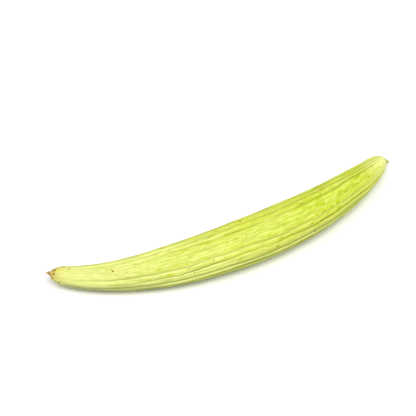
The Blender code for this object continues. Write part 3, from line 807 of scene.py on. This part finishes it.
ALONG_STOPS = (
    (0, "B99C50"), (0.018, "C2B064"), (0.045, "CECB86"), (0.16, "C3C66C"), (0.38, "C1C650"),
    (0.6, "BFC43C"), (0.82, "B8CA24"), (0.93, "D1D452"), (1, "D5D492"),
)
skin_material, tree = new_material("waxy_skin")
colour = ground(tree, "along", ALONG_STOPS, "B_SPLINE")
print("the ground colour runs through", len(ALONG_STOPS), "stops")

# %% [markdown]
# ## Patterns that follow the fruit
# The mottling runs along the fruit, because the skin stretched that way: broad patches, streaks and
# flecks. The straightened map is divided by a pattern's real size, so one unit is one blotch long and
# one wide, and noise on that bows with the fruit. A photographed texture would bring its own light.
# Real flecks are under a millimetre wide, and are drawn at 1.5 mm so that they show.

# %% Patches, streaks and flecks
PATCH_MM = (60.0, 14.0)
STREAK_MM = (22.0, 1.5)
FLECK_MM = (9.0, 1.5)


def on_map(tree, size_mm, middle_mm=(0, 0, 0)):
    """The straightened map counted from a place, with a pattern's length and width as its units."""
    length_mm, width_mm = size_mm
    straight = add_node(tree, "Attribute", {}, attribute_name="straight")
    return add_node(tree, "Mapping", {
        "Vector": straight.outputs["Vector"], "Location": Vector(middle_mm) * MM,
        "Scale": Vector((length_mm, width_mm, width_mm)) * MM}, vector_type="TEXTURE").outputs[0]


def mottling(tree, size_mm, detail):
    """An uneven pattern from 0 to 1, in blotches so long and so wide, with finer detail in them."""
    place = on_map(tree, size_mm)
    return add_node(tree, "TexNoise", {"Vector": place, "Scale": 1.0, "Detail": detail}).outputs["Fac"]


patches = mottling(tree, PATCH_MM, 2.0)
streaks = mottling(tree, STREAK_MM, 4.0)
soft_streaks = mottling(tree, STREAK_MM, 3.0)
flecks = mottling(tree, FLECK_MM, 4.0)
print("four patterns take", len(tree.nodes) - 2, "nodes")

# %% [markdown]
# ## Colour in coats
# A painter would lay thin coats over the ground, and so do we. A coat has a shade and some limits. A
# limit reads a pattern, or a number that the vertices keep, and as that goes from low to high, the
# coat goes from least to most. The flecks are weaker on the young end, which is the smoothest.

# %% First coats
def coated(tree, under, coats):
    """A colour under coats of (shade, limits), where a limit is (value, low, high, least, most)."""
    for shade, *limits in coats:
        mask = 1.0
        for value, low, high, least, most in limits:
            if isinstance(value, str):
                value = add_node(tree, "Attribute", {}, attribute_name=value).outputs["Fac"]
            rise = add_node(tree, "MapRange", {
                "Value": value, "From Min": low, "From Max": high, "To Min": least, "To Max": most})
            mask = add_node(tree, "Math", {0: mask, 1: rise.outputs[0]}, operation="MULTIPLY").outputs[0]
        under = add_node(tree, "Mix", {0: mask, 6: under, 7: linear(shade)}, data_type="RGBA").outputs[2]
    return under


grown = ("along", 0.05, 0.3, 0.5, 1)
colour = coated(tree, colour, (
    ("B4CC3A", (patches, 0.4, 0.7, 0, 0.35)),
    ("A9C03C", (streaks, 0.5, 0.75, 0, 0.45)),
    ("DDE08C", (soft_streaks, 0.5, 0.3, 0, 0.35)),
    ("A8BA1C", (flecks, 0.52, 0.66, 0, 0.58), grown),
    ("E4E690", (flecks, 0.47, 0.33, 0, 0.44), grown),
))
print("waxy_skin has", len(tree.nodes), "nodes so far")

# %% [markdown]
# ## Crests, flanks and furrows
# Now the lines that the vertices keep: pale along the crests, partly a painted highlight, and palest
# on the dome round the stem; rich on the flanks, with painted reflected green along the far edge; dark
# in the furrows and on the flanks, partly painted shade, and greyer towards the flower, where that
# painted shade is grey. A fine noise makes them uneven. Some are stronger than 1, so their limits run
# to 2.

# %% Lines
FRAY_MM = (2.6, 1.1)
LINE_TOP = 2

fray = mottling(tree, FRAY_MM, 3.0)
uneven = (fray, 0.3, 0.7, 0.75, 1.25)
dark_and_shade_line = ("dark", 0, LINE_TOP, 0, 0.75 * LINE_TOP)
colour = coated(tree, colour, (
    # pale lines, partly a painted highlight on the crests
    ("E2E68C", ("pale", 0, LINE_TOP, 0, 0.8 * LINE_TOP), uneven),
    ("EAEC90", ("pale", 0, LINE_TOP, 0, LINE_TOP), ("along", 0.88, 0.93, 0, 0.7)),
    # rich bands, along the far edge a painted reflection
    ("C2C600", ("rich", 0, LINE_TOP, 0, 0.5 * LINE_TOP)),
    # dark lines, partly painted shade
    ("8C962C", dark_and_shade_line, uneven),
    # painted shade: the dark lines turn greyer towards the flower
    ("7E8868", dark_and_shade_line, uneven, ("along", 0.3, 0.12, 0, 0.6)),
))
print("strongest lines:", round(float(skin_dark_and_shade.max()), 2), "of", LINE_TOP)

# %% [markdown]
# ## Marks with ragged edges
# The stored marks are smooth ovals. The same fine noise is added to them before their limits, so
# their edges fray. Green specks are dots in cells, one cell in six: real ones are half a millimetre
# wide, and are drawn at 1 mm so that they show. Furrows hold more green than the rest, and the fine
# creases are darkened as painted shade. Rust goes on last, tan at its edge and brown inside.

# %% Green, specks and rust
RAGGED = 1.3
SPECK_MM = (3.6, 2.4)

broken = add_node(tree, "Math", {0: fray, 1: RAGGED, 2: -RAGGED / 2}, operation="MULTIPLY_ADD").outputs[0]
ragged = {}
for name in ("green", "rust"):
    kept = add_node(tree, "Attribute", {}, attribute_name=name).outputs["Fac"]
    ragged[name] = add_node(tree, "Math", {0: kept, 1: broken}, operation="ADD").outputs[0]
cells = add_node(tree, "TexVoronoi", {"Vector": on_map(tree, SPECK_MM), "Scale": 1.0})
draw = add_node(tree, "SeparateColor", {0: cells.outputs["Color"]})
colour = coated(tree, colour, (
    ("B4B810", (ragged["green"], 0.36, 0.6, 0, 0.88)),
    ("A4B606", (ragged["green"], 0.36, 0.6, 0, 1), ("along", 0.3, 0.65, 0, 1)),
    ("9EAC20", (cells.outputs["Distance"], 0.26, 0.16, 0, 1), (draw.outputs[0], 0.82, 0.85, 0, 1),
     ("along", 0.15, 0.6, 0, 0.8)),
    ("909E2C", ("furrow", 0.1, 1.7, 0, 0.8)),
    # the creases painted darker: painted shade
    ("98A62C", ("crease", 0.2, 1, 0, 0.45)),
    ("BEB038", (ragged["rust"], 0.25, 0.5, 0, 0.75)),
    ("84531C", (ragged["rust"], 0.62, 0.9, 0, 0.9)),
))
print("waxy_skin has", len(tree.nodes), "nodes so far")

# %% [markdown]
# ## Small spots
# Some scabs, bruises and points of rust are smaller than the mesh is fine, and a number on the
# vertices would blur them. Each is painted by its distance from a place on the map: share, place
# round the fruit, length and width in mm.

# %% Spots by distance
SMALL_SPOTS = {
    "CAC862": ((0.031, 78, 10, 4.6),),
    "BCA83C": ((0.05, 96.5, 2.6, 1.8), (0.157, 67, 3, 2.6), (0.218, 75, 1.7, 1.5)),
    "A8A03C": (
        (0.0075, 66, 2.6, 3.4), (0.037, 14.5, 1.6, 1.4), (0.123, 73, 1.4, 1.2), (0.165, 53, 1.7, 1.4),
        (0.188, 56, 1.7, 1.5), (0.19, 38, 2, 1.4), (0.219, 61.5, 1.8, 1.2)),
    "97921F": (
        (0.386, 32.5, 1.8, 1.4), (0.477, 66.5, 1.5, 1.6), (0.498, 63, 1.4, 1.4), (0.645, 86.5, 3.4, 1.6),
        (0.707, 88.5, 2.2, 1.6)),
    "8A701A": ((0.0295, 0, 2.4, 1.8), (0.05, 96.5, 1.2, 0.9), (0.1545, 73, 1.4, 1)),
    "726E16": ((0.337, 12, 1.9, 1.4), (0.4835, 113.5, 2.4, 2.2), (0.542, 9.5, 1.6, 1.4)),
    "46420C": ((0.1575, 66.2, 1.6, 1.4), (0.653, -3.5, 1.5, 2.6)),
}
SPOT_FRAY = 0.5
SPOT_EDGE = (1.15, 0.7)
for shade, spots in SMALL_SPOTS.items():
    for share, place_deg, length_mm, width_mm in spots:
        radius, angle = float(crest_radius(np.array(share))), math.radians(place_deg)
        middle = (share * LENGTH_MM, radius * math.cos(angle), radius * math.sin(angle))
        off = on_map(tree, (length_mm / 2, width_mm / 2), middle)
        off = add_node(tree, "VectorMath", {0: off}, operation="LENGTH").outputs["Value"]
        edge = add_node(tree, "Math", {0: broken, 1: SPOT_FRAY, 2: off}, operation="MULTIPLY_ADD").outputs[0]
        colour = coated(tree, colour, ((shade, (edge, *SPOT_EDGE, 0, 1)),))
print(sum(len(spots) for spots in SMALL_SPOTS.values()), "small spots")

# %% [markdown]
# ## Gloss of the skin
# Wax has an index of refraction near 1.45 and the wet cells under it near 1.35, so 1.4 stands for
# both. Matt wax is about 0.5 rough, and the soft shine of this fruit brings that to 0.45. A little
# light goes in and comes out 1.5 mm away, less of the blue. The finest relief is bump: real pores
# are finer than a pixel, and are drawn as a grain of 1.2 mm so that they show.

# %% Relief and gloss
GRAIN_MM = (2.2, 1.2)
STREAK_RELIEF = 2.0
SKIN_GLOSS = {
    "Roughness": 0.45, "IOR": 1.4, "Subsurface Weight": 0.08, "Subsurface Radius": (1.0, 1.0, 0.4),
    "Subsurface Scale": 1.5 * MM,
}


def dress(piece, material, colour, height, relief, relief_mm, gloss):
    """Ends a material with its relief and its gloss, and lays it on a piece."""
    tree = material.node_tree
    bump = add_node(tree, "Bump", {"Height": height, "Strength": relief, "Distance": relief_mm * MM})
    shader = add_node(tree, "BsdfPrincipled", {"Base Color": colour, "Normal": bump.outputs[0], **gloss})
    add_node(tree, "OutputMaterial", {"Surface": shader.outputs[0]})
    piece.data.materials.append(material)
    print(material.name, "has", len(tree.nodes), "nodes")


grain = mottling(tree, GRAIN_MM, 3.0)
height = add_node(tree, "Math", {0: streaks, 1: STREAK_RELIEF, 2: grain}, operation="MULTIPLY_ADD").outputs[0]
dress(skin, skin_material, colour, height, relief=0.5, relief_mm=0.3, gloss=SKIN_GLOSS)

# %% [markdown]
# ## Stub of the stem
# The stalk was cut a centimetre from the fruit. It is angular and fibrous, it flares where it joins
# the fruit, and it has sagged to one side. A curve with a bevel would give a plain round tube; rings
# of our own let the five ridges, the flare and the hollowed cut end into the mesh.

# %% A ridged tube that bends
def bent_tube(start, ahead, towards, length_mm, turns, radii, ridges, ridge_mm, twist_deg, rings, sides):
    """Rings of a ridged tube in mm: it leaves start straight ahead and turns towards another way."""
    share = np.linspace(0, 1, rings)
    turn = np.radians(smooth_through(turns, share))
    ways = np.outer(np.cos(turn), ahead) + np.outer(np.sin(turn), towards)
    steps = (ways[1:] + ways[:-1]) / 2 * length_mm / (rings - 1)
    centre = start + np.concatenate([np.zeros((1, 3)), np.cumsum(steps, axis=0)])
    hinge = unit(np.cross(ahead, towards))
    upper = np.cross(ways, hinge)
    angle = np.arange(sides) * 2 * math.pi / sides
    twisted = ridges * (angle + np.radians(twist_deg) * share[:, None])
    radius = smooth_through(radii, share)[:, None] + ridge_mm * (np.cos(twisted) - 1)
    ring = np.cos(angle)[:, None] * hinge + np.sin(angle)[:, None] * upper[:, None]
    return centre[:, None] + radius[:, :, None] * ring


quarter_turn, even = ((0, 0), (1, 90)), ((0, 1), (1, 1))
trial = bent_tube(np.zeros(3), (1, 0, 0), (0, 0, 1), 10, quarter_turn, even, 5, 0, 0, 9, 12)
print("a tube of 10 mm, bent up by a quarter turn, rises", round(float(trial[..., 2].max()), 1), "mm")

# %% A dried cut and a map of its own
CUT_STEPS = (0.86, 0.66, 0.4, 0.18)


def cut_end(rings, hollow_mm):
    """Adds smaller rings inside the last one, sunk towards the middle, for a dried cut."""
    middle = rings[-1].mean(axis=0)
    back = unit(rings[-2].mean(axis=0) - middle)
    inner = [middle + (rings[-1] - middle) * step + back * hollow_mm * (1 - step ** 3) for step in CUT_STEPS]
    return np.concatenate([rings, inner])


def store_tube_map(piece, rings, length_mm, whole_rings):
    """Keeps how far out each vertex is, as a share, whether it lies in the cut, and a straight map."""
    sides = rings.shape[1]
    out = np.minimum(np.arange(len(rings)) / (whole_rings - 1), 1.0)
    inside = (np.arange(len(rings)) >= whole_rings).astype(float)
    for name, values in (("out", out), ("cut", inside)):
        store(piece, name, np.concatenate([np.repeat(values, sides), [0, 1]]))
    radius = np.linalg.norm(rings - rings.mean(axis=1, keepdims=True), axis=-1)
    angle = np.arange(sides) * 2 * math.pi / sides
    along = (out * length_mm)[:, None] + 0 * radius
    points = np.stack([along, radius * np.cos(angle), radius * np.sin(angle)], -1).reshape(-1, 3)
    store(piece, "straight", np.concatenate([points, [[0, 0, 0], [length_mm, 0, 0]]]) * MM, "FLOAT_VECTOR")


print("a cut end adds", len(cut_end(trial, 0.5)) - len(trial), "rings")

# %% Build the stub
STUB = {
    "length_mm": 10.9, "turns": ((0, 0), (0.33, 60), (1, 16)),
    "radii": ((0, 2.65), (0.1, 2.25), (0.3, 1.9), (0.8, 1.95), (0.93, 1.9), (1, 1.45)),
    "ridges": 5, "ridge_mm": 0.2, "twist_deg": 12, "rings": 56, "sides": 80,
}
STUB_SAG_PLACE_DEG = -50.0
STUB_HOLLOW_MM = 0.5


def end_piece(name, share, sense, sag_place_deg, hollow_mm, tube):
    """A tube that leaves an end of the fruit, sags towards a place round it and ends in a dried cut."""
    centre, forward, sideways, upward = frame_at(np.array(share))
    place = math.radians(sag_place_deg)
    sag = math.cos(place) * sideways + math.sin(place) * upward
    rings = cut_end(bent_tube(centre, sense * forward, sag, **tube), hollow_mm)
    piece = solid_from_rings(name, rings)
    store_tube_map(piece, rings, tube["length_mm"], tube["rings"])
    print(name, "has", len(piece.data.polygons), "faces")
    return piece


stub = end_piece("stem_stub", 1 - STEM_SEAT_MM / LENGTH_MM, 1, STUB_SAG_PLACE_DEG, STUB_HOLLOW_MM, STUB)
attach(stub, "root")
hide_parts("stem")

# %% [markdown]
# ## Green stalk
# The real thing is a plant's stalk, cut and left to dry. It stays green along its ridges and yellows
# between them, and the cut dries to a pale, corky brown. It has hardly any wax, so the index of plant
# fibre, 1.45, with a roughness of 0.6 makes it duller than the fruit. Its fibres are a few tenths of
# a millimetre apart, and are drawn at 0.5 mm so that they show.

# %% Paint the stub
STALK_STOPS = ((0.0, "A8AE48"), (1.0, "BDBC4C"))
STALK_FIBRE_MM = (7.0, 0.5)
STALK_PATCH_MM = (4.0, 2.5)
STALK_GLOSS = {"Roughness": 0.6, "IOR": 1.45}

stalk_material, tree = new_material("green_stalk")
fibres = mottling(tree, STALK_FIBRE_MM, 3.0)
patches = mottling(tree, STALK_PATCH_MM, 3.0)
colour = coated(tree, ground(tree, "out", STALK_STOPS), (
    ("92962E", (patches, 0.5, 0.64, 0, 0.55)),
    ("7F8730", (fibres, 0.52, 0.64, 0, 0.5)),
    ("D2D070", (fibres, 0.45, 0.34, 0, 0.5)),
    ("8A7C34", ("out", 0.94, 1, 0, 0.5)),
    ("CDB97C", ("cut", 0.2, 0.9, 0, 1)),
    ("9A7A44", ("cut", 0, 1, 0, 1), (patches, 0.5, 0.65, 0, 0.8)),
))
height = add_node(tree, "Math", {0: fibres, 1: patches}, operation="ADD").outputs[0]
dress(stub, stalk_material, colour, height, relief=0.6, relief_mm=0.25, gloss=STALK_GLOSS)

# %% [markdown]
# ## Rest of the flower
# The flower withers on the tip of the fruit and dries into a small folded cone, closed at its point
# like a twisted scrap of paper. Cloth simulation would fold real petals, but at this size a ridged
# and twisted tube gives the same folds for far fewer faces.

# %% Build the flower rest
FLOWER = {
    "length_mm": 4.9, "turns": ((0, 0), (1, 20)),
    "radii": ((0, 2.1), (0.25, 2), (0.55, 1.5), (0.85, 1.1), (1, 0.85)),
    "ridges": 7, "ridge_mm": 0.2, "twist_deg": 55, "rings": 44, "sides": 84,
}
FLOWER_SAG_PLACE_DEG = -90.0
FLOWER_HOLLOW_MM = 0.25

flower = end_piece(
    "flower_rest", BLOSSOM_SEAT_MM / LENGTH_MM, -1, FLOWER_SAG_PLACE_DEG, FLOWER_HOLLOW_MM, FLOWER)
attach(flower, "root")
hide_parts("blossom_remnant")

# %% [markdown]
# ## Dry petals
# The real thing is a flower's petals, withered in the air until they are thin, papery and matt. Next
# to the fruit they are rusty brown, further out they bleach to straw, and the very point is dark.
# Some light comes through them, which the warm stops stand for. Dry plant fibre has an index near
# 1.45, and paper is about 0.85 rough. Their veins are half a millimetre apart, as drawn.

# %% Paint the flower rest
PETAL_STOPS = (
    (0, "8F8240"), (0.08, "9A7440"), (0.36, "9C7242"), (0.5, "B88E56"), (0.6, "DCC890"), (0.74, "D8C488"),
    (0.84, "8E7A4A"), (1, "5E5030"),
)
PETAL_VEIN_MM = (3.0, 0.5)
PETAL_GLOSS = {"Roughness": 0.85, "IOR": 1.45}

petal_material, tree = new_material("dry_petals")
veins = mottling(tree, PETAL_VEIN_MM, 3.0)
colour = coated(tree, ground(tree, "out", PETAL_STOPS), (
    ("7A5830", (veins, 0.54, 0.68, 0, 0.4)),
    ("D2B483", (veins, 0.45, 0.33, 0, 0.3)),
))
dress(flower, petal_material, colour, veins, relief=0.7, relief_mm=0.3, gloss=PETAL_GLOSS)

# %% [markdown]
# ## Floor
# The fruit lies on plain white. We lay a board under it with matt white paint, rolled on. Paint has an
# index of refraction near Blender's own 1.5, and 0.9 rough is flat enough to show no reflection. It is
# a little darker than pure white, so that the soft shadow under the fruit shows, and the board is far
# larger than the picture, so that no edge shows.

# %% Lay the floor
FLOOR_SIZE_M = 8.0

bpy.ops.mesh.primitive_plane_add(size=FLOOR_SIZE_M)
floor = bpy.context.object
floor.name = "floor"
floor_material, tree = new_material("matt_white_paint")
floor_shader = add_node(tree, "BsdfPrincipled", {"Base Color": linear("ECECEC"), "Roughness": 0.9})
add_node(tree, "OutputMaterial", {"Surface": floor_shader.outputs[0]})
floor.data.materials.append(floor_material)
floor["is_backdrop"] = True
print("the floor is", FLOOR_SIZE_M, "m wide")

# %% [markdown]
# ## Light
# The photograph was taken in soft light from all over. Two wide lamps, one on the left and one in
# front, stand some 3 m away and draw the ribs gently, and a white sky fills their shadows. One small
# lamp would give hard shadows, and the sky alone hardly any.

# %% Lamps and sky
LAMP_SIZE_M = 2.2
LAMP_DISTANCE_M = 3.2
LAMPS = (("left_lamp", -82.0, 58.0, 65.0), ("front_lamp", 27.0, 62.0, 85.0))
SKY_STRENGTH = 0.38

for name, azimuth_deg, elevation_deg, watts in LAMPS:
    way = way_to(azimuth_deg, elevation_deg)
    lamp = placed(name, bpy.data.lights.new(name, "AREA"))
    lamp.data.size = LAMP_SIZE_M
    lamp.data.energy = watts
    lamp.location = way * LAMP_DISTANCE_M
    lamp.rotation_euler = (-way).to_track_quat("-Z", "Y").to_euler()

sky = bpy.data.worlds.new("sky")
sky.use_nodes = True
for socket, value in (("Color", (1, 1, 1, 1)), ("Strength", SKY_STRENGTH)):
    sky.node_tree.nodes["Background"].inputs[socket].default_value = value
bpy.context.scene.world = sky
bpy.context.scene.view_settings.view_transform = "Standard"
print(len(LAMPS), "lamps, sky", SKY_STRENGTH)

# %% [markdown]
# ## Check the size
# The finished fruit is measured against the box of the solids, and how far it has grown at each
# side is printed. The finished fruit has to stay in the box of the solids, give or take a few per
# cent.

# %% Compare both boxes and finish
low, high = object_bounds()
for side, growth in (("low", cad_low - low), ("high", high - cad_high)):
    print("grown at the", side, "side by, in mm:", [round(1000 * v, 2) for v in growth])
